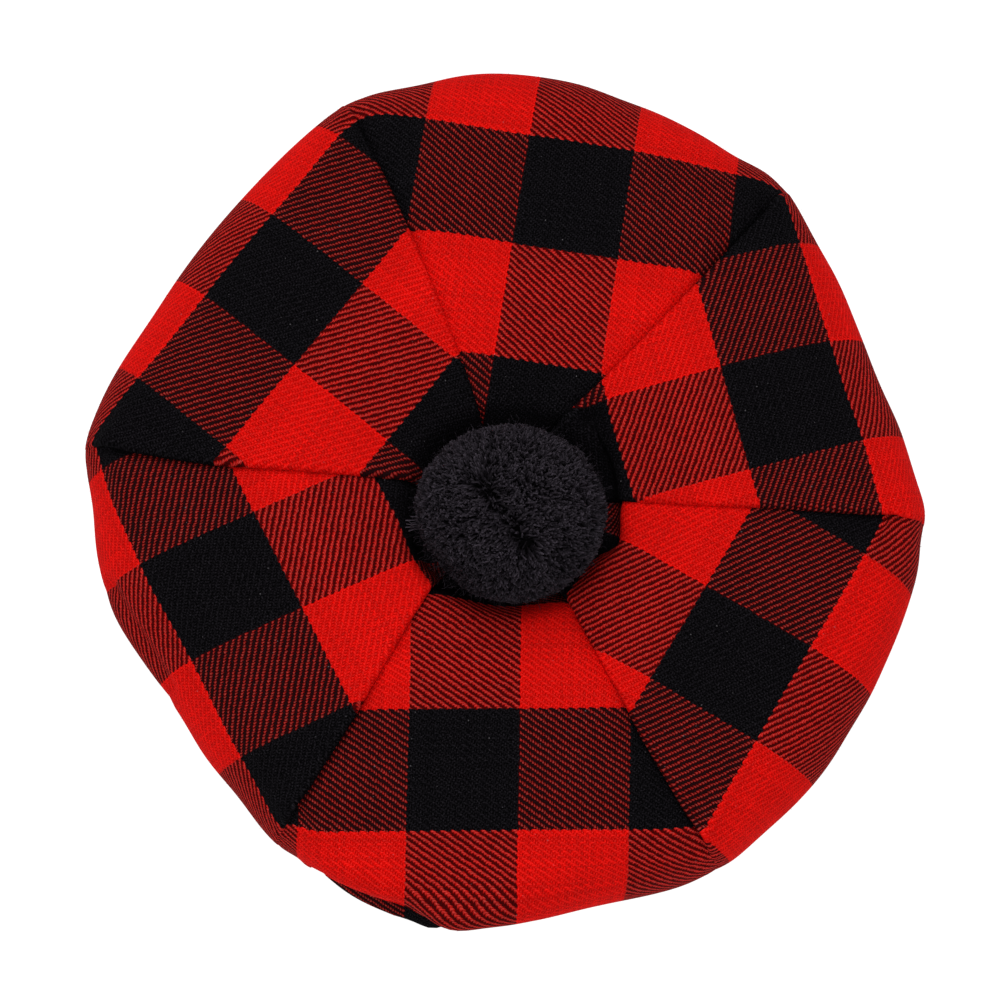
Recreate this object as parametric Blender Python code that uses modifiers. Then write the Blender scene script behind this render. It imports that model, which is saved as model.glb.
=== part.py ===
"""A tam o'shanter lying on a table: a flat six-gore cap of check wool with a pompom.

The crown is six petals of one cloth. Each starts at the middle of the crown, goes down
into the hollow that holds the pompom, over its lip, out across the flat top, round the
soft rim and back underneath to the headband, which is what the cap stands on.

+X is the right as it lies, +Y the far side, +Z up. The table is z = 0. Lengths in metres.
"""

from collections import namedtuple
from math import cos, pi, radians, sin, sqrt

import bmesh
import bpy
import numpy as np
from mathutils import Matrix, Vector

# ---------------------------------------------------------------- driving dimensions

MIDDLE = Vector((-0.001, -0.003))  # where the six seams meet, seen from above
CLOTH = 0.0018                     # thickness of the wool twill
GAP = 0.0003                       # between neighbouring pieces

# Headband: a plain ring of folded cloth, for a 56 cm head.
BAND_OUTER_R = 0.092
BAND_WALL = 0.003
BAND_HEIGHT = 0.028
BAND_EDGE = 0.0006       # how much its corners are rounded off
BAND_STEPS = 64

# Top of the crown.
TIE_HOLE_R = 0.006       # the pompom is sewn down through here
HOLLOW_CENTRE = MIDDLE + Vector((0.003, -0.010))  # under the leaning pompom
HOLLOW_FLOOR_R = 0.022
HOLLOW_Z = 0.027
LIP_R = 0.040
LIP_Z = 0.048
DOME_RISE = 0.003        # the flat top swells this much above the lip
DOME_END_R = 0.140

# Rim: how far in from the edge the cloth starts to turn down.
TURN_AT_SEAM = 0.014
TURN_AT_MIDDLE = 0.034
RIM_DROP = 0.016         # how sharply the cloth turns under, as a Bezier handle
UNDER_REACH = 0.018      # how flat it comes in to the headband, as a Bezier handle
UNDER_DIP = 0.003
HEM_LAP = 0.0025         # the cloth laps this far over the top of the headband

# The seams, by where they lie. Headings in degrees, anticlockwise from +X, beside the
# pompom, half way out and at the corner; corner is its distance from the middle.
Seam = namedtuple("Seam", "by_pompom half_way at_corner corner")
SEAM_START_R = 0.045
SEAMS = {
    "back_left":   Seam(109.0, 110.5, 112.0, 0.1520),
    "back_right":  Seam(43.5, 44.8, 46.3, 0.1490),
    "right":       Seam(-6.8, -4.8, -4.1, 0.1485),
    "front_right": Seam(-58.7, -60.8, -60.4, 0.1500),
    "front_left":  Seam(-124.0, -121.8, -122.0, 0.1435),
    "left":        Seam(176.0, 176.0, 173.8, 0.1470),
}

# The gores, clockwise from the back. Reach is the rim's distance from the middle, a
# quarter, half and three quarters of the way from the left seam to the right one, as
# seen looking outwards. rim_z is the height of the rim's outermost line.
Gore = namedtuple("Gore", "left right reach_quarter reach_half reach_three_quarters rim_z")
GORES = {
    "crown_gore_1": Gore("back_left", "back_right", 0.1540, 0.1530, 0.1495, 0.022),
    "crown_gore_2": Gore("back_right", "right", 0.1425, 0.1395, 0.1430, 0.022),
    "crown_gore_3": Gore("right", "front_right", 0.1470, 0.1460, 0.1485, 0.020),
    "crown_gore_4": Gore("front_right", "front_left", 0.1475, 0.1480, 0.1485, 0.015),
    "crown_gore_5": Gore("front_left", "left", 0.1360, 0.1365, 0.1420, 0.019),
    "crown_gore_6": Gore("left", "back_left", 0.1405, 0.1385, 0.1430, 0.022),
}
CORNER_Z = 0.021         # height of the rim's outermost line at every seam
SEAM_DIP = 0.0015        # the seams lie this much below the cloth beside them
SEAM_DIP_WIDTH = 0.009
GORE_COLUMNS = 10
HOLLOW_ROWS, TOP_ROWS, RIM_ROWS, UNDER_ROWS = 7, 3, 5, 5
TOP_START_R = 0.052      # the lip is inside this distance all round

# Pompom: a ball of yarn that leans to the front right of the middle.
POM_CENTRE = Vector((0.0020, -0.0155, 0.0588))
POM_RADIUS = 0.0325
POM_SQUASH = 0.96        # its height and depth against its width
POM_CORE = 0.80          # the dense inside, as a share of the radius
LOCKS = 76
LOCK_SIDES = 5
LOCK_WIDTH = 0.88        # of the room that each lock has
LOCK_ROOT = 0.55         # where a lock starts, as a share of the pompom's radius
LOCK_SHOULDER = 0.955    # where its tip starts to round off
LOCK_TIP_INSET = 0.45    # how far in the blunt top is, as a share of the lock's width
TIE_R = 0.0054
TIE_BOTTOM_Z = 0.0245


# ---------------------------------------------------------------------------- helpers

def clear_scene():
    """Remove whatever the scene holds."""
    for thing in list(bpy.data.objects):
        bpy.data.objects.remove(thing, do_unlink=True)


def collection(name):
    """Make a collection in the scene."""
    made = bpy.data.collections.new(name)
    bpy.context.scene.collection.children.link(made)
    return made


def material(name, colour, roughness):
    """Make a plain material: linear colour, roughness, no metal."""
    made = bpy.data.materials.new(name)
    made.use_nodes = True
    shader = made.node_tree.nodes["Principled BSDF"]
    shader.inputs["Base Color"].default_value = (*colour, 1.0)
    shader.inputs["Roughness"].default_value = roughness
    shader.inputs["Metallic"].default_value = 0.0
    return made


def add_object(name, bm, finish, home):
    """Turn a bmesh into an object with one finish, in a collection."""
    mesh = bpy.data.meshes.new(name)
    bm.to_mesh(mesh)
    bm.free()
    mesh.materials.append(finish)
    thing = bpy.data.objects.new(name, mesh)
    home.objects.link(thing)
    return thing


def smooth_step(x):
    """0 below 0, 1 above 1, and a smooth rise between."""
    x = np.clip(x, 0.0, 1.0)
    return x * x * (3.0 - 2.0 * x)


# -------------------------------------------------------------------------- the crown

def seam_heading(seam, r):
    """A seam's heading in radians at distance r, through its three headings."""
    distances = (SEAM_START_R, (SEAM_START_R + seam.corner) / 2, seam.corner)
    return np.radians(np.interp(r, distances, seam[:3]))


def heading(gore, s, r):
    """Heading of the point at s and distance r, so that rows are straight chords.

    Between the seams' headings, each drawn in by half of the gap, s is spread by the
    tangent of the angle from the gore's own middle line.
    """
    inset = np.arcsin(GAP / 2 / r)
    left = seam_heading(SEAMS[gore.left], r)
    right = seam_heading(SEAMS[gore.right], r)
    left = np.where(left < right, left + 2 * pi, left) - inset
    right = right + inset
    return (left + right) / 2 - np.arctan(s * np.tan((left - right) / 2))


def plan(gore, s, r):
    """Where the cloth at s and distance r lies, seen from above."""
    angle = heading(gore, s, r)
    return MIDDLE.x + r * np.cos(angle), MIDDLE.y + r * np.sin(angle)


def top_height(x, y):
    """Height of the crown's top: the hollow, its lip and a low dome, by distance."""
    r = np.hypot(x - HOLLOW_CENTRE.x, y - HOLLOW_CENTRE.y)
    rise = smooth_step((r - HOLLOW_FLOOR_R) / (LIP_R - HOLLOW_FLOOR_R))
    dome = np.sin(pi * np.clip((r - LIP_R) / (DOME_END_R - LIP_R), 0.0, 1.0))
    return HOLLOW_Z + (LIP_Z - HOLLOW_Z) * rise + DOME_RISE * dome


def rim_reach(gore, s):
    """Distance of the rim at s, from -1 at the left seam to 1 at the right one.

    The quartic through the two corners and the three reaches of the gore.
    """
    reaches = [SEAMS[gore.left].corner, gore.reach_quarter, gore.reach_half,
               gore.reach_three_quarters, SEAMS[gore.right].corner]
    return np.polyval(np.polyfit(np.linspace(-1.0, 1.0, 5), reaches, 4), s)


def section(gore, s):
    """The cloth's path at s in its own upright plane, as distances and heights.

    Four stretches in a row: the hollow and the flat top by top_height, the rim as a
    quarter of an ellipse, the under side as a cubic Bezier, and the hem's lap.
    """
    reach = rim_reach(gore, s)
    turn = TURN_AT_SEAM + (TURN_AT_MIDDLE - TURN_AT_SEAM) * (1.0 - s * s)
    rim_z = CORNER_Z + (gore.rim_z - CORNER_Z) * (1.0 - s ** 4)
    edge_of_top = reach - turn
    band_top = BAND_HEIGHT + GAP

    r_hollow = np.linspace(TIE_HOLE_R, TOP_START_R, HOLLOW_ROWS + 1)
    r_top = np.linspace(TOP_START_R, edge_of_top, TOP_ROWS + 1)[1:]
    r = np.concatenate([r_hollow, r_top])
    z = top_height(*plan(gore, s, r))

    angle = np.linspace(0.0, pi / 2, RIM_ROWS + 1)[1:]
    r_rim = edge_of_top + turn * np.sin(angle)
    z_rim = rim_z + (z[-1] - rim_z) * np.cos(angle)

    corners_r = (reach, reach, BAND_OUTER_R + UNDER_REACH, BAND_OUTER_R + GAP)
    corners_z = (rim_z, rim_z - RIM_DROP, band_top - UNDER_DIP, band_top)
    u = np.linspace(0.0, 1.0, UNDER_ROWS + 1)[1:]
    weights = ((1 - u) ** 3, 3 * u * (1 - u) ** 2, 3 * u * u * (1 - u), u ** 3)
    r_under = sum(w * c for w, c in zip(weights, corners_r))
    z_under = sum(w * c for w, c in zip(weights, corners_z))

    r = np.concatenate([r, r_rim, r_under, [BAND_OUTER_R - HEM_LAP]])
    z = np.concatenate([z, z_rim, z_under, [band_top]])
    return r, z


def seam_dip(gore, s, r):
    """How far the cloth is drawn in at s: a bell across each seam, none at the ends."""
    half_angle = np.abs(heading(gore, -1.0, r) - heading(gore, 1.0, r)) / 2
    from_seam = (1.0 - abs(s)) * r * np.sin(half_angle)
    along = np.linspace(0.0, 1.0, len(r))
    return SEAM_DIP * np.exp(-(from_seam / SEAM_DIP_WIDTH) ** 2) * np.sin(pi * along)


def inwards(r, z, depth):
    """The same path, moved inwards by depth, square to itself."""
    along_r, along_z = np.gradient(r), np.gradient(z)
    length = np.hypot(along_r, along_z)
    return r + depth * along_z / length, z - depth * along_r / length


def make_gore(name, gore, finish, home):
    """One petal of cloth: closed sections lofted from the left seam to the right."""
    rings = []
    for s in np.sin(np.linspace(-pi / 2, pi / 2, GORE_COLUMNS + 1)):
        r, z = section(gore, s)
        dip = seam_dip(gore, s, r)
        ring = []
        for depth in (dip, dip + CLOTH):
            side_r, side_z = inwards(r, z, depth)
            ring.append(np.column_stack([*plan(gore, s, side_r), side_z]))
        rings.append(ring)

    bm = bmesh.new()
    verts = [[[bm.verts.new(point) for point in side] for side in ring] for ring in rings]
    rows = len(verts[0][0])
    for near, far in zip(verts, verts[1:]):
        for i in range(rows - 1):
            bm.faces.new((near[0][i], near[0][i + 1], far[0][i + 1], far[0][i]))
            bm.faces.new((near[1][i + 1], near[1][i], far[1][i], far[1][i + 1]))
        for i in (0, rows - 1):
            bm.faces.new((near[0][i], far[0][i], far[1][i], near[1][i]))
    for ring in (verts[0], verts[-1]):
        for i in range(rows - 1):
            bm.faces.new((ring[0][i], ring[1][i], ring[1][i + 1], ring[0][i + 1]))
    bmesh.ops.recalc_face_normals(bm, faces=bm.faces)
    for face in bm.faces:
        face.smooth = True
    return add_object(name, bm, finish, home)


# ----------------------------------------------------------------------- the headband

def make_headband(finish, home):
    """A turned ring of folded cloth, with its edges rounded off."""
    inner_r = BAND_OUTER_R - BAND_WALL
    bm = bmesh.new()
    corners = [(BAND_OUTER_R, BAND_HEIGHT), (BAND_OUTER_R, 0.0),
               (inner_r, 0.0), (inner_r, BAND_HEIGHT)]
    verts = [bm.verts.new((r, 0.0, z)) for r, z in corners]
    for first, second in zip(verts, verts[1:] + verts[:1]):
        bm.edges.new((first, second))
    band = add_object("headband", bm, finish, home)
    band.location = (MIDDLE.x, MIDDLE.y, 0.0)
    turn = band.modifiers.new("turn", "SCREW")
    turn.axis = "Z"
    turn.steps = turn.render_steps = BAND_STEPS
    turn.use_merge_vertices = True
    turn.merge_threshold = 0.00001
    edge = band.modifiers.new("edge", "BEVEL")
    edge.width = BAND_EDGE
    edge.segments = 1
    edge.limit_method = "ANGLE"
    edge.angle_limit = radians(60)
    return band


# ------------------------------------------------------------------------- the pompom

def lock_directions():
    """Evenly spread directions: a spiral that turns by the golden angle each step."""
    golden_angle = pi * (3.0 - sqrt(5.0))
    for k in range(LOCKS):
        height = 1.0 - 2.0 * (k + 0.5) / LOCKS
        across = sqrt(1.0 - height * height)
        yield Vector((across * cos(k * golden_angle), across * sin(k * golden_angle), height))


def add_lock(bm, direction):
    """One lock of yarn: a stub that widens outwards and ends in a low blunt tip."""
    spacing = sqrt(4.0 * pi / LOCKS)
    half_angle = LOCK_WIDTH * spacing / 2
    shoulder = LOCK_SHOULDER * POM_RADIUS * cos(half_angle)
    root = LOCK_ROOT * POM_RADIUS
    turn = direction.to_track_quat("Z", "Y").to_matrix().to_4x4()
    place = turn @ Matrix.Translation((0.0, 0.0, (root + shoulder) / 2))
    made = bmesh.ops.create_cone(
        bm, segments=LOCK_SIDES, cap_ends=True, matrix=place, depth=shoulder - root,
        radius1=root * half_angle, radius2=shoulder * half_angle)
    tip = max({face for vert in made["verts"] for face in vert.link_faces},
              key=lambda face: face.calc_center_median().dot(direction))
    inset = LOCK_TIP_INSET * shoulder * half_angle
    bmesh.ops.inset_region(bm, faces=[tip], thickness=inset)
    for vert in tip.verts:
        vert.co += direction * (POM_RADIUS - vert.co.length)


def make_pompom(finish, home, tools):
    """A dense core with blunt locks all over, fused with the tie that holds it down."""
    bm = bmesh.new()
    bmesh.ops.create_icosphere(bm, subdivisions=2, radius=POM_CORE * POM_RADIUS)
    squash = Matrix.Diagonal((1.0, POM_SQUASH, POM_SQUASH, 1.0))
    place = Matrix.Translation(POM_CENTRE) @ squash
    bm.transform(place)
    pompom = add_object("pompom", bm, finish, home)

    bm = bmesh.new()
    for direction in lock_directions():
        add_lock(bm, direction)
    bm.transform(place)
    locks = add_object("cutter_locks", bm, finish, tools)

    bm = bmesh.new()
    length = POM_CENTRE.z - TIE_BOTTOM_Z
    bmesh.ops.create_cone(
        bm, segments=16, cap_ends=True, radius1=TIE_R, radius2=TIE_R, depth=length,
        matrix=Matrix.Translation((MIDDLE.x, MIDDLE.y, TIE_BOTTOM_Z + length / 2)))
    tie = add_object("cutter_tie", bm, finish, tools)

    for tool in (locks, tie):
        tool.hide_render = True
        tool.display_type = "WIRE"
        fuse = pompom.modifiers.new("fuse_" + tool.name, "BOOLEAN")
        fuse.operation = "UNION"
        fuse.object = tool
    return pompom


# ------------------------------------------------------------------------------- main

def main():
    """Build the cap: six gores, the headband and the pompom."""
    clear_scene()
    parts = collection("tam_o_shanter")
    tools = collection("cutters")
    red_check = material("red_black_check_wool", (0.36, 0.010, 0.008), 0.92)
    black_yarn = material("black_yarn", (0.012, 0.011, 0.014), 0.95)
    for name, gore in GORES.items():
        make_gore(name, gore, red_check, parts)
    make_headband(red_check, parts)
    make_pompom(black_yarn, parts, tools)


main()
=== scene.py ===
# %% [markdown]
# # A tam o'shanter of check wool
#
# This lesson dresses a plain solid model of a tam o'shanter, a flat Scottish cap, until it
# looks like the real one: six petals of brushed wool twill, called gores, meet under a
# black yarn pompom, go out over a soft rim and come back underneath to a headband.
#
# The solid model is loaded first and stays as it is. Every new piece is worked out in its
# metres and in its place: +X is the right, +Y the far side, +Z up, the table at zero.

from collections import namedtuple
from math import cos, pi, radians, sin, sqrt

import bpy
import numpy as np
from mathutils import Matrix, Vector
from numpy.linalg import norm


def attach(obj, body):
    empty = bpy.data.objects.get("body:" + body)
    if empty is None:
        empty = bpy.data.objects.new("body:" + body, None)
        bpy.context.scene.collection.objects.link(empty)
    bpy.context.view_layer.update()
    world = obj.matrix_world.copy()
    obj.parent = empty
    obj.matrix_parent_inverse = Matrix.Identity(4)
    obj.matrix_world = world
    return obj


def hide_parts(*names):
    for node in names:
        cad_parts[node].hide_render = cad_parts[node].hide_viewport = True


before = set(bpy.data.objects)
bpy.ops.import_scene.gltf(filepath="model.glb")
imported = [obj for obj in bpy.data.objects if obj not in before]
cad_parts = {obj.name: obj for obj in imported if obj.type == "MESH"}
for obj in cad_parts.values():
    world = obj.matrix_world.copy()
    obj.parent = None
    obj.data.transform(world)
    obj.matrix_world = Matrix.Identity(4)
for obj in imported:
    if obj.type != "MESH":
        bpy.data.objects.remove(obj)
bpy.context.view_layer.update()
print("solid pieces:", ", ".join(sorted(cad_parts)))

# %% [markdown]
# ## The camera
#
# The cap is seen from almost straight above, with the camera tipped a little to the near
# side. A long lens, 0.9 m away, keeps the far and near rims about the same size.

# %% Camera
CAMERA_DISTANCE = 0.90
CAMERA_ELEVATION = radians(79.0)
CAMERA_LENS = 93.6
TARGET = Vector((-0.0009, -0.0070, 0.036))


def show(name, data):
    """Put a camera, a lamp or a mesh in the scene."""
    made = bpy.data.objects.new(name, data)
    bpy.context.scene.collection.objects.link(made)
    return made


def aim(name, data, place, line):
    """Show a camera or a lamp at a place, looking along a line."""
    made = show(name, data)
    made.location = place
    made.rotation_euler = line.to_track_quat("-Z", "Y").to_euler()
    return made


back = Vector((0.0, -cos(CAMERA_ELEVATION), sin(CAMERA_ELEVATION)))
lens = bpy.data.cameras.new("camera")
lens.lens = CAMERA_LENS
lens.clip_start = 0.05
camera = aim("camera", lens, TARGET + CAMERA_DISTANCE * back, -back)
bpy.context.scene.camera = camera
print("camera at", [round(x, 3) for x in camera.location])

# %% [markdown]
# ## Light
#
# A product like this is lit by large soft boxes. The key stands above the far side, so that
# every seam throws its shadow to the near side. A wide one hangs overhead, and three weaker
# ones fill in from the left, the right and the front. The Standard view keeps the red as
# pure as the dye; Blender's usual view would bleach it.

# %% Soft boxes and the view
SOFT_BOXES = {  # the place of each, its width in metres and its power in watts
    "key": ((-0.25, 0.75, 1.15), 0.8, 7.5),
    "top": ((0.1, -0.1, 1.6), 1.2, 9.0),
    "left": ((-1.2, -0.3, 0.8), 0.9, 3.4),
    "right": ((1.2, -0.35, 0.8), 0.9, 2.8),
    "front": ((0.1, -1.1, 0.95), 0.8, 2.9),
}
WORLD_LIGHT = 0.11

for name, (place, width, power) in SOFT_BOXES.items():
    light = bpy.data.lights.new(name, "AREA")
    light.energy = power
    light.size = width
    aim(name, light, place, TARGET - Vector(place))
world = bpy.data.worlds.new("studio")
world.use_nodes = True
background = world.node_tree.nodes["Background"].inputs
background["Color"].default_value = (1.0, 1.0, 1.0, 1.0)
background["Strength"].default_value = WORLD_LIGHT
bpy.context.scene.world = world
bpy.context.scene.view_settings.view_transform = "Standard"
print("soft boxes:", ", ".join(SOFT_BOXES))

# %% [markdown]
# ## Writing materials as sums
#
# A weave is arithmetic: which thread am I on, and is it over or under its neighbour? That
# reads best as a sum. The class below wraps a socket, so that `a * b + 1` adds the Math
# nodes for it. Colours go through Mix and Vector Math nodes, because a Math node would turn
# them grey, and one method makes every kind of node.

# %% A socket that can be added and multiplied
def sign(operation, swapped=False):
    """A method for one sign of a sum. Swapped, the wire stands after the sign."""
    def add_node(wire, other):
        sides = (other, wire) if swapped else (wire, other)
        return wire.finish.math(operation, *sides)
    return add_node


class Wire:
    """A node's output that takes part in Python sums; each operation adds a Math node."""

    def __init__(self, finish, socket):
        self.finish = finish
        self.socket = socket

    __add__ = __radd__ = sign("ADD")
    __mul__ = __rmul__ = sign("MULTIPLY")
    __sub__, __rsub__ = sign("SUBTRACT"), sign("SUBTRACT", swapped=True)
    __truediv__, __pow__, __mod__ = sign("DIVIDE"), sign("POWER"), sign("FLOORED_MODULO")
    __gt__ = sign("GREATER_THAN")
    largest = sign("MAXIMUM")

    def floor(self):
        return self.finish.math("FLOOR", self)


# %% A finish: one material and its nodes
class Finish:
    """A new material with a Principled shader, and the means to feed it."""

    def __init__(self, name, roughness, specular):
        self.material = bpy.data.materials.new(name)
        self.material.use_nodes = True
        self.tree = self.material.node_tree
        self.shader = self.tree.nodes["Principled BSDF"]
        self.feed("Roughness", roughness)
        self.feed("Specular IOR Level", specular)

    def plug(self, socket, value):
        """Link a wire to a socket, or set the socket to a plain value."""
        if isinstance(value, Wire):
            self.tree.links.new(value.socket, socket)
        else:
            socket.default_value = value

    def feed(self, name, value):
        """Plug a wire or a value into one of the shader's own sockets."""
        self.plug(self.shader.inputs[name], value)

    def node(self, kind, settings=None, sockets=None, output=0):
        """Add any node: its settings first, then its sockets by name or number."""
        made = self.tree.nodes.new("ShaderNode" + kind)
        for key, value in (settings or {}).items():
            setattr(made, key, value)
        for key, value in (sockets or {}).items():
            self.plug(made.inputs[key], value)
        return Wire(self, made.outputs[output])

    def math(self, operation, *values):
        """One Math node."""
        return self.node("Math", {"operation": operation}, dict(enumerate(values)))

    def vector(self, operation, *values):
        """One Vector Math node, for places and colours."""
        return self.node("VectorMath", {"operation": operation}, dict(enumerate(values)))

    def blend(self, share, first, second):
        """Mix two colours: all first where share is 0, all second where it is 1."""
        return self.node("Mix", {"data_type": "RGBA"}, {0: share, 6: first, 7: second}, 2)

    def tint(self, colour, strength):
        """Multiply a colour by a number at every point."""
        sockets = {0: colour, "Scale": strength}
        return self.node("VectorMath", {"operation": "SCALE"}, sockets)

    def noise(self, place, size, detail=2.0):
        """Soft noise from 0 to 1 with blobs of about the given size in metres."""
        sockets = {"Vector": place, "Scale": 1.0 / size, "Detail": detail}
        return self.node("TexNoise", None, sockets)

    def random(self, place):
        """A number from 0 to 1 that jumps from each whole value of place to the next."""
        return self.node("TexWhiteNoise", {"noise_dimensions": "1D"}, {"W": place})

    def emboss(self, height, strength, distance):
        """Bump the surface; a height of 1 stands out by the distance, in metres."""
        sockets = {"Height": height, "Strength": strength, "Distance": distance}
        self.feed("Normal", self.node("Bump", None, sockets))


# %% [markdown]
# ## The cloth
#
# The cloth is a 2/2 twill: each thread goes over two and under two, one step further on in
# every row, which draws the slanting lines. It is dyed in the yarn. Forty-four red warp
# threads are followed by forty-four black ones, and the weft changes colour every seventy
# threads. Where both are red the cloth is red, where both are black it is black, and where
# they cross it shows red and black lines.
#
# The threads could be modelled one by one, but a cap has some hundreds of thousands of
# crossings. They are drawn from the piece's own UV map instead, which holds cloth
# coordinates in metres: u across the gore, v from the middle of the crown outwards.

# %% How the cloth is woven
WARP_THREADS = 44  # in a stripe of one colour
WEFT_THREADS = 70
STRIPE_ACROSS = 0.0370
STRIPE_ALONG = 0.0405
WARP_START = -0.0085  # where a black warp stripe begins, across the gore
WEFT_START = 0.0005  # where a black weft stripe begins, out from the middle
WARP_PITCH = STRIPE_ACROSS / WARP_THREADS
WEFT_PITCH = STRIPE_ALONG / WEFT_THREADS
RED_WOOL = (0.84, 0.0024, 0.0009, 1.0)
BLACK_WOOL = (0.0066, 0.0058, 0.0072, 1.0)
LINT = (0.32, 0.30, 0.32, 1.0)
PAINTED_NAP_HIGHLIGHT = (0.014, 0.0130, 0.0110)  # painted highlight: pale light on the fibre tips that stand up on a red float
print(f"warp {1000 * WARP_PITCH:.2f} mm, weft {1000 * WEFT_PITCH:.2f} mm from thread to thread")


# %% One float of a thread
THREAD_LEAN = 0.10  # a float lies askew by this share of its length


def float_bar(along_thread, half_length, across_thread, fullness):
    """Height of a float, from 0 at its edge to 1 at its middle.

    Half an ellipse along the thread times half a circle across it. along_thread is 0 at
    the float's middle, and across_thread runs from 0 to 1 over the thread's pitch.
    """
    leaning = across_thread + along_thread * THREAD_LEAN
    ends = 1.0 - (along_thread / half_length) ** 2.0
    sides = 1.0 - ((leaning * 2.0 - 1.0) / fullness) ** 2.0
    return (ends.largest(0.0) * sides.largest(0.0)) ** 0.5


def yarn_colour(cloth, place, is_red, thread, seed, squeeze):
    """A thread's colour: lighter or darker than its neighbours', and uneven along it."""
    along_it = cloth.noise(cloth.vector("MULTIPLY", place, squeeze), 0.0005)
    uneven = cloth.random(thread + seed) * 0.40 + along_it * 0.25 + 0.675
    return cloth.tint(cloth.blend(is_red, BLACK_WOOL, RED_WOOL), uneven)


# %% The twill finish
def twill_finish(name):
    """Brushed 2/2 twill in a red and black check, from the UV map called cloth.

    U and V count threads. A weft float is centred where U + whole V is 3 in every 4, and
    a warp float where V + whole U is 1 in every 4. The higher bar is on top. Light and shade
    are painted into the colour: where both threads have one colour, painted light glows
    between them, so the cloth is nearly as bright between the threads as on them. Where they
    differ, painted shade darkens all but the top of a red float, which shines.
    The plain numbers are shares of the full brightness or of a thread, matched one by one.
    """
    cloth = Finish(name, roughness=0.95, specular=0.02)
    place = cloth.node("UVMap", {"uv_map": "cloth"})
    u, v = (cloth.node("SeparateXYZ", None, {0: place}, axis) for axis in (0, 1))

    waver = cloth.noise(place, 0.0040) + cloth.noise(place, 0.0013) - 1.0
    across = (u - WARP_START) / WARP_PITCH + waver * 0.9
    along = (v - WEFT_START) / WEFT_PITCH + waver * 0.8
    zigzag = cloth.math("COSINE", (across + along - 3.5) * (pi / 2))
    across, along = across - zigzag * 0.22, along + zigzag * 0.42
    warp, weft = across.floor(), along.floor()
    weft_run = (across + weft - 1.0) % 4.0 - 2.0
    warp_run = (along + warp + 1.0) % 4.0 - 2.0
    weft_bar = float_bar(weft_run, 1.30, along - weft, 1.18)
    warp_bar = float_bar(warp_run, 1.15, across - warp, 0.87)
    warp_on_top = warp_bar * 0.95 > weft_bar
    height = warp_bar.largest(weft_bar)

    warp_is_red = (warp / WARP_THREADS).floor() % 2.0
    weft_is_red = (weft / WEFT_THREADS).floor() % 2.0
    warp_colour = yarn_colour(cloth, place, warp_is_red, warp, 0.5, (1.0, 0.2, 1.0))
    weft_colour = yarn_colour(cloth, place, weft_is_red, weft, 400.5, (0.2, 1.0, 1.0))
    upper = cloth.blend(warp_on_top, weft_colour, warp_colour)
    lower = cloth.blend(warp_on_top, warp_colour, weft_colour)

    # Painted shade and light: each float darkens towards its edges and into the gaps, least where
    # both threads match, and the lower thread shows dimly where they differ.
    crossed = (warp_is_red - weft_is_red) ** 2.0
    both_black = (1.0 - warp_is_red) * (1.0 - weft_is_red)
    glowing = height * 0.54 + 0.45 - warp_on_top * 0.07
    lonely = height ** 1.7 * (0.615 - warp_on_top * 0.320) + 0.070
    ribs = (cloth.noise(place, 0.00060, 1.0) * 6.4 - 1.90).largest(0.10)
    ribbed = height ** 2.4 * ribs + 0.06
    shade = glowing + (lonely - glowing) * crossed + (ribbed - glowing) * both_black
    fibres = cloth.noise(place, 0.00016, 1.0) * 0.7 + 0.65
    patches = cloth.noise(place, 0.014) * 0.20 + 0.90
    top_light = cloth.tint(upper, shade * fibres * patches)
    low_light = cloth.tint(lower, crossed * (0.013 + warp_on_top * 0.057))
    top_is_red = weft_is_red + (warp_is_red - weft_is_red) * warp_on_top
    # Painted highlight: a pale tint on the tops of red floats, three times as strong where the
    # threads cross.
    nap_highlight = (cloth.noise(place, 0.0006, 1.0) * 3.4 - 0.7).largest(0.0)
    nap_highlight = cloth.tint(PAINTED_NAP_HIGHLIGHT, nap_highlight * top_is_red * height ** 4.0 * (1.0 + crossed * 2.0))
    brushed = cloth.vector("ADD", cloth.vector("ADD", top_light, low_light), nap_highlight)
    lint = cloth.noise(place, 0.0010, 0.0) > 0.868
    cloth.feed("Base Color", cloth.blend(lint * 0.25, brushed, LINT))
    fluff = cloth.noise(place, 0.0004, 1.0) * 0.35
    cloth.emboss(height + fluff, 0.65, 0.00024)
    return cloth.material


check_wool = twill_finish("check_wool")
print("nodes in the twill finish:", len(check_wool.node_tree.nodes))

# %% [markdown]
# ## The shape of the crown
#
# Seen from above, the gores are numbered clockwise from the far one. Each is a surface with
# two parameters: s runs from -1 at its left seam to 1 at its right one, looking outwards,
# and t runs along the cloth from the middle to the headband. The tables below are the solid
# model's own: where each seam runs, and how far each gore reaches. That is what makes the
# outline of this one cap, lying as it lies.

# %% The crown's sizes
MIDDLE = Vector((-0.001, -0.003))
CLOTH = 0.0010  # thickness of the twill as it shows
GAP = 0.0003
BAND_OUTER_R, BAND_HEIGHT = 0.092, 0.028
TIE_HOLE_R = 0.006
HOLLOW_CENTRE = MIDDLE + Vector((0.003, -0.010))
HOLLOW_FLOOR_R, HOLLOW_Z = 0.022, 0.027
LIP_R, LIP_Z = 0.040, 0.048
DOME_RISE, DOME_END_R = 0.003, 0.140
TURN_AT_SEAM, TURN_AT_MIDDLE = 0.014, 0.034
RIM_DROP, UNDER_REACH, UNDER_DIP = 0.016, 0.018, 0.003
HEM_LAP, CORNER_Z, SEAM_START_R = 0.0025, 0.021, 0.045

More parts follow.
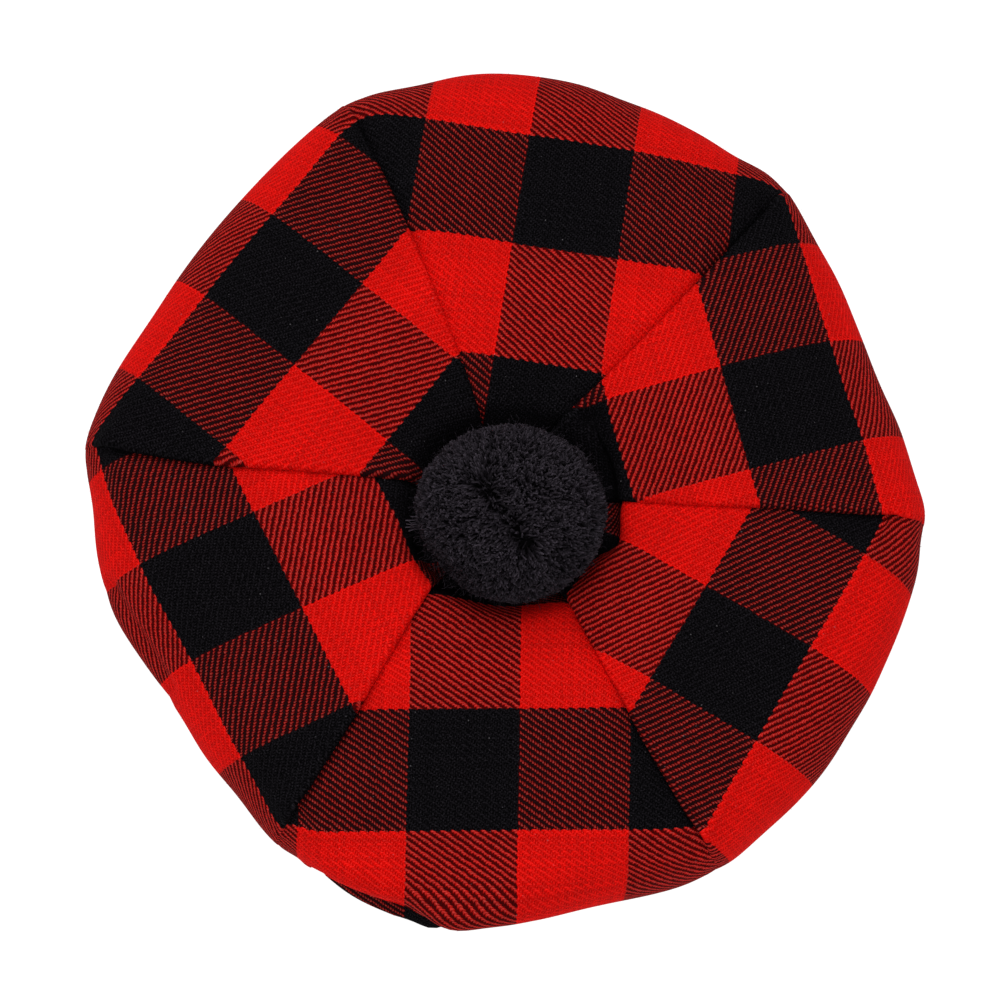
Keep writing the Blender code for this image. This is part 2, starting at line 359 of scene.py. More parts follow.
Seam = namedtuple("Seam", "by_pompom half_way at_corner corner")
SEAMS = {
    "back_left": Seam(109.0, 110.5, 112.0, 0.152),
    "back_right": Seam(43.5, 44.8, 46.3, 0.149),
    "right": Seam(-6.8, -4.8, -4.1, 0.1485),
    "front_right": Seam(-58.7, -60.8, -60.4, 0.15),
    "front_left": Seam(-124.0, -121.8, -122.0, 0.1435),
    "left": Seam(176.0, 176.0, 173.8, 0.147),
}
Gore = namedtuple("Gore", "left right reach_quarter reach_half reach_three_quarters rim_z")
GORES = {
    1: Gore("back_left", "back_right", 0.154, 0.153, 0.1495, 0.022),
    2: Gore("back_right", "right", 0.1425, 0.1395, 0.143, 0.022),
    3: Gore("right", "front_right", 0.147, 0.146, 0.1485, 0.02),
    4: Gore("front_right", "front_left", 0.1475, 0.148, 0.1485, 0.015),
    5: Gore("front_left", "left", 0.136, 0.1365, 0.142, 0.019),
    6: Gore("left", "back_left", 0.1405, 0.1385, 0.143, 0.022),
}
print("gores:", len(GORES), "seams:", len(SEAMS))


# %% Where a point of a gore lies, seen from above
def smooth_step(x):
    """0 below 0, 1 above 1, and a smooth rise between."""
    x = np.clip(x, 0.0, 1.0)
    return x * x * (3.0 - 2.0 * x)


def between(share, first, last):
    """A value part of the way from first to last."""
    return first + (last - first) * share


def seam_heading(seam, r):
    """A seam's heading in radians at distance r, through its three headings."""
    distances = (SEAM_START_R, (SEAM_START_R + seam.corner) / 2, seam.corner)
    return np.radians(np.interp(r, distances, seam[:3]))


def round_middle(r, heading):
    """x and y at a distance and a heading from the middle."""
    return MIDDLE.x + r * np.cos(heading), MIDDLE.y + r * np.sin(heading)


def plan(gore, s, r):
    """x and y at s and distance r.

    The heading is spread between the two seams by the tangent of the angle from the
    gore's own middle line, so that a row of equal distance out is a straight chord.
    """
    inset = np.arcsin(GAP / 2 / r)
    left = seam_heading(SEAMS[gore.left], r)
    right = seam_heading(SEAMS[gore.right], r)
    left = np.where(left < right, left + 2 * pi, left) - inset
    right = right + inset
    return round_middle(r, (left + right) / 2 - np.arctan(s * np.tan((left - right) / 2)))


# %% How high the crown is
def top_height(x, y):
    """Height of the crown's top: the hollow, its lip and a low dome, by distance."""
    r = np.hypot(x - HOLLOW_CENTRE.x, y - HOLLOW_CENTRE.y)
    rise = smooth_step((r - HOLLOW_FLOOR_R) / (LIP_R - HOLLOW_FLOOR_R))
    dome = np.sin(pi * np.clip((r - LIP_R) / (DOME_END_R - LIP_R), 0.0, 1.0))
    return between(rise, HOLLOW_Z, LIP_Z) + DOME_RISE * dome


# %% The unevenness of the outline
BULGES = [  # heading and width in degrees, and how far out in metres
    (6.0, 6.0, -0.0006), (12.0, 5.0, -0.0005), (50.5, 4.5, 0.0029),
    (73.5, 5.5, -0.0022), (101.0, 5.0, -0.0014), (140.0, 8.0, -0.001),
    (182.5, 6.5, -0.003), (196.0, 5.5, 0.0014), (214.0, 8.5, -0.0019),
    (241.0, 2.0, -0.0009), (263.2, 3.4, 0.0022), (286.0, 11.5, -0.0018),
    (306.0, 6.0, -0.0014), (325.7, 5.0, -0.001), (345.0, 5.0, -0.0008),
    (356.5, 3.0, 0.0014),
]
RIM_R = 0.145


def bulge_out(gore, s):
    """How far the rim is pushed out at each s: a sum of bells over the heading."""
    x, y = plan(gore, s, RIM_R)
    heading = np.degrees(np.arctan2(y - MIDDLE.y, x - MIDDLE.x))
    out = np.zeros_like(s)
    for middle, width, height in BULGES:
        apart = (heading - middle + 180.0) % 360.0 - 180.0
        out += height * np.exp(-(apart / width) ** 2)
    return out


# %% The path of the cloth from the middle to the headband
COLUMNS = 84
TOP_ROWS, RIM_ROWS, UNDER_ROWS = 56, 26, 30
TUCKED_GORE = 4
TUCK_FROM, TUCK_RISE, TUCK_TO, TUCK_FALL = -0.75, 0.95, 1.0, 0.34  # values of s
LIP_TURN, LIP_DROP = 0.006, 0.009
LIP_OUT, LIP_INSET = 0.0008, 0.0040  # out where the tuck begins, in by its corner
LIP_FROM, LIP_LENGTH = 0.05, 0.35
TUCK_IN, TUCK_DOWN, BULGE_Z = 0.040, 0.003, 0.003
BULGE_AT_CORNER, BULGE_GROWTH = 0.0476, 0.028
BULGE_GROWS_FROM, BULGE_GROWS_FOR = 0.80, 0.42
BULGE_HIDDEN, HIDDEN_FROM, HIDDEN_LENGTH = 0.046, 0.26, 0.34
BULGE_LEAD = 0.32  # power of the tuck's share; the bulge is there before the lip


def tuck_share(number, s):
    """How much of the tuck a gore has at s: 0 for none, 1 for all of it."""
    if number != TUCKED_GORE:
        return 0.0 * s
    rise = smooth_step((s - TUCK_FROM) / TUCK_RISE)
    return rise * smooth_step((TUCK_TO - s) / TUCK_FALL)


def section(number, s):
    """Points of the cloth, rows along the path and a column for each s.

    Four stretches in a row: the top by top_height, the rim as a quarter of an ellipse,
    the under side as a cubic Bezier, and the hem's lap over the headband. Where there is
    a tuck, the rim turns in a tight lip and the Bezier's first handle pulls the cloth in
    under it, before its second one throws it out again lower down, as a bulge. The bulge
    has a share of its own, the tuck's to a small power, and so it begins before the lip.
    """
    gore = GORES[number]
    tuck = tuck_share(number, s)
    bulging = tuck ** BULGE_LEAD
    reaches = [SEAMS[gore.left].corner, *gore[2:5], SEAMS[gore.right].corner]
    reach = np.polyval(np.polyfit(np.linspace(-1.0, 1.0, 5), reaches, 4), s)
    reach = reach + bulge_out(gore, s)
    turn = between(1.0 - s * s, TURN_AT_SEAM, TURN_AT_MIDDLE)
    turn = between(tuck, turn, LIP_TURN)
    inset = LIP_INSET * smooth_step((s - LIP_FROM) / LIP_LENGTH) - LIP_OUT
    side_reach = between(tuck, reach, reach - inset)
    edge_of_top = side_reach - turn
    band_top = BAND_HEIGHT + GAP
    growth = BULGE_GROWTH * np.clip(BULGE_GROWS_FROM - s, 0.0, BULGE_GROWS_FOR)
    hidden = BULGE_HIDDEN * smooth_step((HIDDEN_FROM - s) / HIDDEN_LENGTH)
    thrown_out = reach + BULGE_AT_CORNER + growth - hidden

    share = np.linspace(0.0, 1.0, TOP_ROWS + 1)[:, None]
    r_top = between(share, TIE_HOLE_R, edge_of_top)
    z_top = top_height(*plan(gore, s, r_top))
    rim_z = between(1.0 - s ** 4, CORNER_Z, gore.rim_z)
    side_z = between(tuck, rim_z, z_top[-1] - LIP_DROP)

    angle = np.linspace(0.0, pi / 2, RIM_ROWS + 1)[1:, None]
    r_rim = edge_of_top + turn * np.sin(angle)
    z_rim = between(np.cos(angle), side_z, z_top[-1])

    u = np.linspace(0.0, 1.0, UNDER_ROWS + 1)[1:, None]
    corners_r = (side_reach, between(tuck, reach, side_reach - TUCK_IN),
                 between(bulging, BAND_OUTER_R + UNDER_REACH, thrown_out),
                 BAND_OUTER_R + GAP)
    corners_z = (side_z, between(tuck, rim_z - RIM_DROP, side_z - TUCK_DOWN),
                 between(bulging, band_top - UNDER_DIP, BULGE_Z), band_top)
    weights = ((1 - u) ** 3, 3 * u * (1 - u) ** 2, 3 * u * u * (1 - u), u ** 3)
    r_under = sum(w * c for w, c in zip(weights, corners_r))
    z_under = sum(w * c for w, c in zip(weights, corners_z))

    hem_r = np.full((1, len(s)), BAND_OUTER_R - HEM_LAP)
    r = np.concatenate([r_top, r_rim, r_under, hem_r])
    z = np.concatenate([z_top, z_rim, z_under, np.full((1, len(s)), band_top)])
    return np.stack([*plan(gore, s, r), z], axis=-1)


def spread(count):
    """s for each column, from -1 to 1, closer together beside the seams."""
    even = np.linspace(-1.0, 1.0, count + 1)
    return 0.55 * even + 0.45 * np.sin(even * pi / 2)


first = section(1, spread(COLUMNS))
print("grid of one gore:", first.shape[0], "rows by", first.shape[1], "columns")

# %% [markdown]
# ## Laying the cloth's pattern on a gore
#
# Every gore was cut from the same place of the check, but each was sewn in a little
# differently. The cut's grain points outwards along a heading of its own. Across the
# grain, u is measured straight; along it, v is the length of the cloth itself, so the
# pattern turns down over the rim almost without stretching.

# %% The cut of each gore
Cut = namedtuple("Cut", "grain shift shear out stretch ease", defaults=(0.0, 0.0))
CUTS = {  # the grain's heading in degrees, then metres and shares
    1: Cut(80.9, 0.0003, 0.005, -0.003),
    2: Cut(14.6, 0.0103, 0.01, -0.0029),
    3: Cut(-31.1, -0.0039, 0.009, 0.0018),
    4: Cut(-89.5, -0.002, -0.028, 0.0023, 0.0, 0.0045),
    5: Cut(-152.6, 0.0008, -0.05, 0.0018, -0.04),
    6: Cut(141.5, 0.0041, -0.012, 0.0006, -0.02),
}
FLAT_R, FLAT_V = 0.060, 0.061  # where the top is flat: the distance out, and v there
FLAT_ROWS = 40  # so many rows are searched for that place
EASE_FROM, EASE_LENGTH = 0.074, 0.020  # where the cloth is eased in towards the rim


def travelled(steps, axis):
    """How far one has come at each point: the running sum of the steps, from zero."""
    return np.insert(np.cumsum(steps, axis=axis), 0, 0.0, axis=axis)


def cloth_coordinates(points, cut):
    """u and v in metres: straight across the grain, and the cloth's length along it."""
    grain = radians(cut.grain)
    x, y = points[..., 0] - MIDDLE.x, points[..., 1] - MIDDLE.y
    out = x * cos(grain) + y * sin(grain)
    across = x * sin(grain) - y * cos(grain)
    steps = np.hypot(np.diff(out, axis=0), np.diff(points[..., 2], axis=0))
    length = travelled(steps, 0)
    flat = np.stack([out, length], -1)[:FLAT_ROWS].swapaxes(0, 1)
    start = [np.interp(FLAT_R, *column.T) for column in flat]
    beyond = length - np.array(start)
    v = FLAT_V + cut.out + beyond * (1.0 + cut.stretch)
    v -= cut.ease * smooth_step((beyond - EASE_FROM) / EASE_LENGTH)
    u = across + cut.shift + cut.shear * beyond
    return np.stack([u, v], axis=-1)


first_uv = cloth_coordinates(first, CUTS[1])
print(f"longest line of cloth: {1000 * np.ptp(first_uv[..., 1], axis=0).max():.0f} mm")

# %% [markdown]
# ## Seams and folds
#
# Along each seam the two edges are turned to the inside and pressed to one side. The gore
# on that side lies over three layers and stands proud; its neighbour dives under it. The
# table says which gore lies over, how deep its neighbour sinks by the pompom, half way out
# and at the corner, and how wide that valley is at its two ends. A second table holds the
# folds that the cap's own weight makes.

# %% Which gore lies over which
Join = namedtuple("Join", "over near_depth mid_depth corner_depth near_width corner_width")
JOINS = {
    "back_left": Join(6, 0.0024, 0.005, 0.009, 0.005, 0.0048),
    "back_right": Join(2, 0.0028, 0.0052, 0.0088, 0.004, 0.0048),
    "right": Join(2, 0.0024, 0.0028, 0.0048, 0.005, 0.014),
    "front_right": Join(3, 0.0034, 0.0044, 0.0044, 0.009, 0.009),
    "front_left": Join(5, 0.003, 0.004, 0.0042, 0.006, 0.009),
    "left": Join(6, 0.0026, 0.0036, 0.0052, 0.006, 0.01),
}
STEP_LIMIT, SUNK_WIDTH = 0.0050, 0.005  # in a deeper valley the upper gore sinks too
STEP_AT_RIM = 0.0002
RIM_FROM, RIM_FADE = 0.86, 0.12  # shares of the way out, where a seam flattens
CORNER_PULL = 0.0010  # how far a corner is pulled in, which rounds it off
OVER_RISE = 0.0006  # how proud the upper gore stands beside the seam
BESIDE_SEAM = 0.006  # how far that rise, the corner's pull and the puckers reach
FOLDS = {  # x and y of one end, x and y of the other, depth and width
    "right_of_pompom": (0.03, 0.018, 0.0342, -0.021, 0.0078, 0.006),
    "left_of_pompom": (-0.025, -0.0225, -0.017, -0.0345, 0.004, 0.005),
    "near_the_pompom": (0.025, -0.046, 0.037, -0.066, 0.0022, 0.005),
    "front_left_rim": (-0.135, -0.036, -0.113, -0.072, 0.0022, 0.0022),
    "right_corner": (0.096, -0.006, 0.142, -0.016, 0.0014, 0.008),
    "back_right_dimple": (0.06, 0.112, 0.078, 0.098, 0.0012, 0.012),
    "front_dimple": (-0.036, -0.1, -0.022, -0.104, 0.0008, 0.007),
}
WAVES = [  # length, heading, phase and height
    (0.071, 20.0, 0.4, 0.0004), (0.053, 75.0, 2.1, 0.00032),
    (0.038, 140.0, 4.0, 0.00024), (0.029, 110.0, 1.2, 0.00013),
]


def folds_and_waves(x, y):
    """Height added by every fold and wave, by place alone, so that it joins at seams.

    A fold is a valley with a bell-shaped section along a line; a wave is a plain sine.
    """
    height = np.zeros_like(x)
    for x0, y0, x1, y1, depth, width in FOLDS.values():
        dx, dy = x1 - x0, y1 - y0
        along = np.clip(((x - x0) * dx + (y - y0) * dy) / (dx * dx + dy * dy), 0.0, 1.0)
        away = np.hypot(x - x0 - along * dx, y - y0 - along * dy)
        height -= depth * np.exp(-(away / width) ** 2)
    for length, heading, phase, swell in WAVES:
        turn = radians(heading)
        travel = (x * cos(turn) + y * sin(turn)) * 2 * pi / length
        height += swell * np.sin(travel + phase)
    return height


# %% Normals of a grid
def unit(vectors):
    """The same directions, all of length 1."""
    return vectors / np.maximum(norm(vectors, axis=-1, keepdims=True), 1e-12)


def grid_normals(points):
    """Normals of a grid: rows run outwards and columns to the right, so this faces out."""
    down = np.gradient(points, axis=0)
    across = np.gradient(points, axis=1)
    return unit(np.cross(across, down))


# %% One side of a gore beside its seam
PUCKER = 0.00022
PUCKER_PITCH, PUCKER_CHANGE = 0.0065, 0.017


def seam_relief(number, seam_name, away, out, length):
    """Height added beside one seam, by the distance away from it and out along it.

    The upper gore rises over its turned edge. The lower one sinks in a bell whose depth
    and width change towards the corner and whose depth fades at the rim; the deeper it
    is, the sharper its bottom. Both pucker a little between the stitches.
    """
    join = JOINS[seam_name]
    share = np.clip((out - SEAM_START_R) / (SEAMS[seam_name].corner - SEAM_START_R), 0, 1)
    at_rim = smooth_step((share - RIM_FROM) / RIM_FADE)
    pucker = np.sin(2 * pi * length / PUCKER_PITCH + 3.0 * np.sin(length / PUCKER_CHANGE))
    pucker = PUCKER * pucker * np.exp(-away / BESIDE_SEAM)
    depths = (join.near_depth, join.mid_depth, join.corner_depth)
    depth = np.interp(share, (0.0, 0.5, 1.0), depths)
    depth += (STEP_AT_RIM - depth) * at_rim
    if join.over == number:
        rise = OVER_RISE * (1.0 - at_rim) * np.exp(-(away / BESIDE_SEAM) ** 2)
        sunk = np.maximum(depth - STEP_LIMIT, 0.0) * np.exp(-(away / SUNK_WIDTH) ** 1.5)
        return rise + pucker - sunk
    width = between(share ** 2, join.near_width, join.corner_width)
    power = np.interp(depth, (0.0030, 0.0060), (1.5, 1.25))
    return -depth * np.exp(-(away / width) ** power) + pucker


print("upper gores:", {seam: join.over for seam, join in JOINS.items()})

# %% [markdown]
# ## Making a gore
#
# The surface is pushed in or out along its normals by the reliefs. Then the seam
# allowances are added as more columns of the same grid: on the upper gore the cloth rolls
# round and goes back under itself, on the lower one it dives on under its neighbour.
# Solidify gives the cloth its thickness on the inside.

# %% Seam allowances
ALLOWANCE = 0.0060
ALLOWANCE_FROM, ALLOWANCE_LEFT = 0.80, 0.2  # from this share out it narrows to a fifth
ROLL_R = 0.0010  # outside radius of the turned edge
ALLOWANCE_COLUMNS = 9


def allowance(edge, outwards, normal, room, over):
    """Columns past a seam: points, and how far each is past the seam along the cloth.

    Over: half a circle, then straight back under. Under: an easy slope down, then
    straight on. The last column is as far away as there is room, and the circle shrinks
    with the room.
    """
    way = np.linspace(0.0, 1.0, ALLOWANCE_COLUMNS + 1)[1:][None, :] * room[:, None]
    roll = np.minimum(ROLL_R, 0.25 * room)[:, None]
    if over:
        angle = np.minimum(way / roll, pi)
        forward = roll * np.sin(angle) - np.maximum(way - pi * roll, 0.0)
        down = roll * (1.0 - np.cos(angle))
    else:
        forward = way
        down = 0.8 * ROLL_R * smooth_step(way / 0.002)
    step = forward[..., None] * outwards[:, None, :] - down[..., None] * normal[:, None, :]
    return edge[:, None, :] + step, way


# %% A gore with its allowances
def gore_surface(number, gore):
    """Points and cloth coordinates of a whole gore, from one allowance to the other."""
    points = section(number, spread(COLUMNS))
    cloth = cloth_coordinates(points, CUTS[number])
    normals = grid_normals(points)
    from_left = travelled(norm(np.diff(points, axis=1), axis=-1), 1)
    sides = {gore.left: from_left, gore.right: from_left[:, -1:] - from_left}
    out = np.hypot(points[..., 0] - MIDDLE.x, points[..., 1] - MIDDLE.y)

    relief = folds_and_waves(points[..., 0], points[..., 1])
    for seam_name, away in sides.items():
        relief += seam_relief(number, seam_name, away, out, cloth[..., 1])
    # Towards the tie and the hem the cloth is held, so it doesn't stand out there.
    row = np.arange(len(points))[:, None]
    held = smooth_step(row / 12.0) * smooth_step((len(points) - 1 - row) / 10.0)
    relief = np.where(relief > 0.0, relief * held, relief * (0.25 + 0.75 * held))
    points = points + relief[..., None] * normals
    for seam_name, away in sides.items():
        near_corner = smooth_step((out / SEAMS[seam_name].corner - RIM_FROM) / RIM_FADE)
        pull = CORNER_PULL * near_corner * np.exp(-away / BESIDE_SEAM)
        points[..., :2] -= (pull / out)[..., None] * (points[..., :2] - MIDDLE)
    normals = grid_normals(points)

    room = np.minimum(ALLOWANCE, 0.45 * from_left[:, -1])
    beyond_top = np.arange(len(points)) > TOP_ROWS
    added = []
    for seam_name, edge, inner, way_of_u in zip(sides, (0, -1), (1, -2), (-1, 1)):
        way_out = out[:, edge] / SEAMS[seam_name].corner
        near_rim = smooth_step((way_out - ALLOWANCE_FROM) / RIM_FADE)
        left_over = np.where(beyond_top, ALLOWANCE_LEFT, 1.0 - (1.0 - ALLOWANCE_LEFT) * near_rim)
        outwards = unit(points[:, edge] - points[:, inner])
        turned, way = allowance(points[:, edge], outwards, normals[:, edge],
                                room * left_over, JOINS[seam_name].over == number)
        u = cloth[:, edge, :1] + way_of_u * way
        v = cloth[:, edge, 1:] + 0 * way
        added.append((turned, np.stack([u, v], -1)))
    grids = zip(added[0], (points, cloth), added[1])
    return [np.concatenate([left[:, ::-1], own, right], axis=1) for left, own, right in grids]


# %% From a grid to a mesh
def cells(rows, columns, closed=False):
    """The corners of each cell of a grid, facing out. Closed, the last column meets the first."""
    index = np.arange(rows * columns).reshape(rows, columns)
    if closed:
        index = np.concatenate([index, index[:, :1]], axis=1)
    return np.stack([index[:-1, :-1], index[1:, :-1], index[1:, 1:], index[:-1, 1:]], -1)


def smooth(mesh):
    """Shade a finished mesh smoothly."""
    mesh.polygons.foreach_set("use_smooth", np.ones(len(mesh.polygons), bool))
    mesh.update()
    return mesh


def grid_mesh(name, points, uv, closed=False):
    """A mesh of quads from a grid of points, with a UV map called cloth."""
    quads = cells(*points.shape[:2], closed).reshape(-1, 4)
    mesh = bpy.data.meshes.new(name)
    mesh.from_pydata(points.reshape(-1, 3), [], quads.tolist())
    corners = cells(*uv.shape[:2]).ravel()
    layer = mesh.uv_layers.new(name="cloth")
    layer.data.foreach_set("uv", uv.reshape(-1, 2)[corners].astype(np.float32).ravel())
    return smooth(mesh)


def add_piece(name, mesh, finish, slot, *replaced):
    """Put a mesh in the scene, on the one body of this row."""
    mesh.materials.append(finish)
    piece = show(name, mesh)
    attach(piece, "root")
    if replaced:
        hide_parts(*replaced)
    return piece


# %% The six gores
def make_gore(number, gore):
    """One petal of cloth, in place of the solid one. Its area is summed from the cells of its
    points, and nothing uses it.
    """
    name = f"crown_gore_{number}"
    points, uv = gore_surface(number, gore)
    piece = add_piece("wool_" + name, grid_mesh(name, points, uv), check_wool,
                      "check_wool", name)
    wall = piece.modifiers.new("cloth", "SOLIDIFY")
    wall.thickness = CLOTH
    wall.offset = -1.0
    one, two = points[1:, 1:] - points[:-1, :-1], points[1:, :-1] - points[:-1, 1:]
    area = float(norm(np.cross(one, two), axis=-1).sum() / 2)
    return points, uv


gore_grids = [make_gore(number, gore) for number, gore in GORES.items()]

# %% [markdown]
# ## The headband
#
# The headband is a strip of the same cloth, folded double and sewn into a ring. Its
# section is a long rounded rectangle, carried round a circle that is not quite true,
# because soft cloth never is.

# %% The headband
BAND_WALL = 0.003
BAND_COLUMNS = 240
BAND_EDGE_R = 0.0012
BAND_SINK, BAND_CLEAR = 0.0004, 0.0001  # its middle is drawn in; it stays off the hem


def band_section():
    """Distance and height round the band's section, from the top of its outer side.

    Two rounded corners and a side make half of it, and the same turned round the rest.
    """
    half_wall, turn = BAND_WALL / 2, np.linspace(0.0, pi / 2, 5)
    r, z = half_wall - BAND_EDGE_R, BAND_HEIGHT / 2 - BAND_EDGE_R
    away, up = BAND_EDGE_R * np.cos(turn), BAND_EDGE_R * np.sin(turn)
    straight = np.linspace(z, -z, 9)[1:-1]
    distances = np.concatenate([r + away, -r - up, np.full(len(straight), -half_wall)])
    half = np.stack([distances, np.concatenate([z + up, z + away, straight])], -1)
    return np.concatenate([half, -half])


def make_headband():
    """The section carried round the opening. Its middle is drawn in, and wavers slowly."""
    outline = band_section()
    angle = np.linspace(0.0, 2 * pi, BAND_COLUMNS + 1)
    waver = 0.0004 * np.sin(3 * angle + 0.6) + 0.0003 * np.sin(7 * angle)
    pinch = np.cos(pi * outline[:, 1] / BAND_HEIGHT) ** 2
    r = (BAND_OUTER_R - BAND_WALL / 2 - BAND_CLEAR + outline[:, 0])[:, None]
    r = r - BAND_SINK * pinch[:, None] + waver * pinch[:, None]
    z = np.broadcast_to((BAND_HEIGHT / 2 + outline[:, 1])[:, None], r.shape)
    points = np.stack([*round_middle(r, angle), z], -1)
    points = np.concatenate([points, points[:1]])
    steps = norm(np.diff(outline, axis=0, append=outline[:1]), axis=-1)
    v = travelled(steps, 0)[:, None] + 0 * angle
    u = BAND_OUTER_R * angle + 0 * v
    return grid_mesh("headband", points[:, :-1], np.stack([u, v], -1), closed=True)


add_piece("wool_headband", make_headband(), check_wool, "band_wool", "headband")
print("headband inside, round: %.0f mm" % (2000 * pi * (BAND_OUTER_R - BAND_WALL)))

# %% [markdown]
# ## The pompom
#
# A pompom is yarn wound many times, tied tightly in the middle and cut open, so that all
# its ends stand out in a ball and are clipped. Seen from above, the ends part along a
# short line over the tie and lean away from it. Each end is a thin three-sided tube, bent
# by its lean; the arrays below hold one row for each of them.

# %% Sizes of the pompom
POM_CENTRE = np.array([0.0025, -0.0161, 0.0588])
POM_RADIUS = 0.0325
POM_SQUASH = np.array([1.0, 0.925, 0.96])
PARTING_START = np.array([-0.30, 0.17, 0.94])
PARTING_END = np.array([0.18, -0.53, 0.83])
YARN_R = 0.00040
YARN_ENDS = 21000
ROOT_SHARE = 0.74  # where an end's root lies, as a share of the radius
CORE_SHARE = 0.86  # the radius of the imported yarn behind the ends
RINGS = 5
RANDOM_SEED = 11


def even_directions(count):
    """Evenly spread directions: a spiral that turns by the golden angle each step."""
    k = np.arange(count)
    height = 1.0 - 2.0 * (k + 0.5) / count
    flat, turn = np.sqrt(1.0 - height ** 2), k * pi * (3.0 - sqrt(5.0))
    return np.stack([flat * np.cos(turn), flat * np.sin(turn), height], -1)


def away_from_parting(directions):
    """For each direction, the way along the ball from the parting, and how far it is."""
    line = PARTING_END - PARTING_START
    along = np.clip((directions - PARTING_START) @ line / (line @ line), 0.0, 1.0)
    nearest = unit(PARTING_START + along[:, None] * line)
    away = directions - nearest
    away -= (away * directions).sum(-1, keepdims=True) * directions
    return unit(away), norm(directions - nearest, axis=-1)


# %% Yarn ends as tubes
TUBE_SIDES = 3
TIP_LENGTH = 0.7  # how far a tip reaches past its last ring, in radii


def mark(mesh, key, values):
    """Give each point of a mesh a number that its finish can read."""
    made = mesh.attributes.new(key, "FLOAT", "POINT")
    made.data.foreach_set("value", values.astype(np.float32))


def tube_mesh(name, centres, radii, shade):
    """A mesh of many tubes: along is 0 at a root and 1 at a tip, tone is each tube's own.

    centres is (tubes, rings, 3) and radii (tubes, rings). Each ring is a regular polygon
    square to its tube's own line, and the last ring closes on the tube's end point.
    """
    count, rings = centres.shape[:2]
    run = unit(centres[:, -1] - centres[:, 0])
    helper = np.where(np.abs(run[:, 2:]) < 0.8, [[0.0, 0.0, 1.0]], [[1.0, 0.0, 0.0]])
    one = unit(np.cross(run, helper))[:, None, None, :]
    two = np.cross(run[:, None, None, :], one)
    angle = (np.arange(TUBE_SIDES) * 2 * pi / TUBE_SIDES)[:, None]
    ring = np.cos(angle) * one + np.sin(angle) * two
    walls = centres[:, :, None, :] + radii[:, :, None, None] * ring
    tips = centres[:, -1] + run * radii[:, -1:] * TIP_LENGTH

    here = np.arange(count * rings * TUBE_SIDES).reshape(count, rings, TUBE_SIDES)
    beside = np.roll(here, -1, axis=2)
    quads = np.stack([here[:, :-1], beside[:, :-1], beside[:, 1:], here[:, 1:]], -1)
    tip = here.size + np.arange(count)[:, None] + np.zeros((1, TUBE_SIDES), int)
    caps = np.stack([here[:, -1], beside[:, -1], tip], -1)
    mesh = bpy.data.meshes.new(name)
    mesh.from_pydata(np.concatenate([walls.reshape(-1, 3), tips]), [],
                     quads.reshape(-1, 4).tolist() + caps.reshape(-1, 3).tolist())
    along = np.linspace(0.0, 1.0, rings)[None, :, None] + 0.0 * here
    tone = shade[:, None, None] + 0.0 * here
    mark(mesh, "along", np.concatenate([along.ravel(), np.ones(count)]))
    mark(mesh, "tone", np.concatenate([tone.ravel(), shade]))
    return smooth(mesh)


# %% The yarn's finish
BLACK_YARN = (0.0330, 0.0275, 0.0350, 1.0)
# The colour deep in the ball: painted shade towards the yarn's roots.
PAINTED_ROOT_SHADE = (0.0010, 0.0008, 0.0011, 1.0)


def yarn_finish():
    """Matt black yarn, darker towards its root as painted shade, and each end a shade of its own.
    """
    yarn = Finish("black_yarn", roughness=0.95, specular=0.04)
    along = yarn.node("Attribute", {"attribute_name": "along"}, output=2)
    tone = yarn.node("Attribute", {"attribute_name": "tone"}, output=2)
    place = yarn.node("TexCoord", output=3)
    # Painted shade: the colour goes to the dark root shade towards each end's root.
    colour = yarn.blend(along ** 1.6, PAINTED_ROOT_SHADE, BLACK_YARN)
    fluff = yarn.noise(place, 0.0006) * 0.7 + 0.6
    yarn.feed("Base Color", yarn.tint(colour, (tone * 1.4 + 0.25) * fluff))
    yarn.emboss(yarn.noise(place, 0.0003), 0.5, 0.0002)
    return yarn.material


def add_yarn(name, mesh):
    """A part of the pompom, in place of the solid one."""
    return add_piece("yarn_" + name, mesh, black_yarn, "black_yarn", "pompom")


black_yarn = yarn_finish()
print("nodes in the yarn's finish:", len(black_yarn.node_tree.nodes))


# %% The ends of the pompom
PRESSED_SIDE = np.array([-0.74, -0.66, 0.12])  # there the ball is a little flat
STRAY, CLUMP, TUFT = 0.0011, 0.0006, 0.0007
CRIMP, CRIMP_TURNS = 0.00055, 9.0  # turns in radians along an end


def waves_on_ball(directions, count):
    """Three sines that run over the ball in three directions, for clumps of ends."""
    axes = np.array([[1.0, 0.3, 0.2], [0.2, 1.0, -0.4], [0.4, -0.2, 1.0]])
    return np.sin(count * directions @ axes.T + np.array([0.3, 1.9, 4.1]))


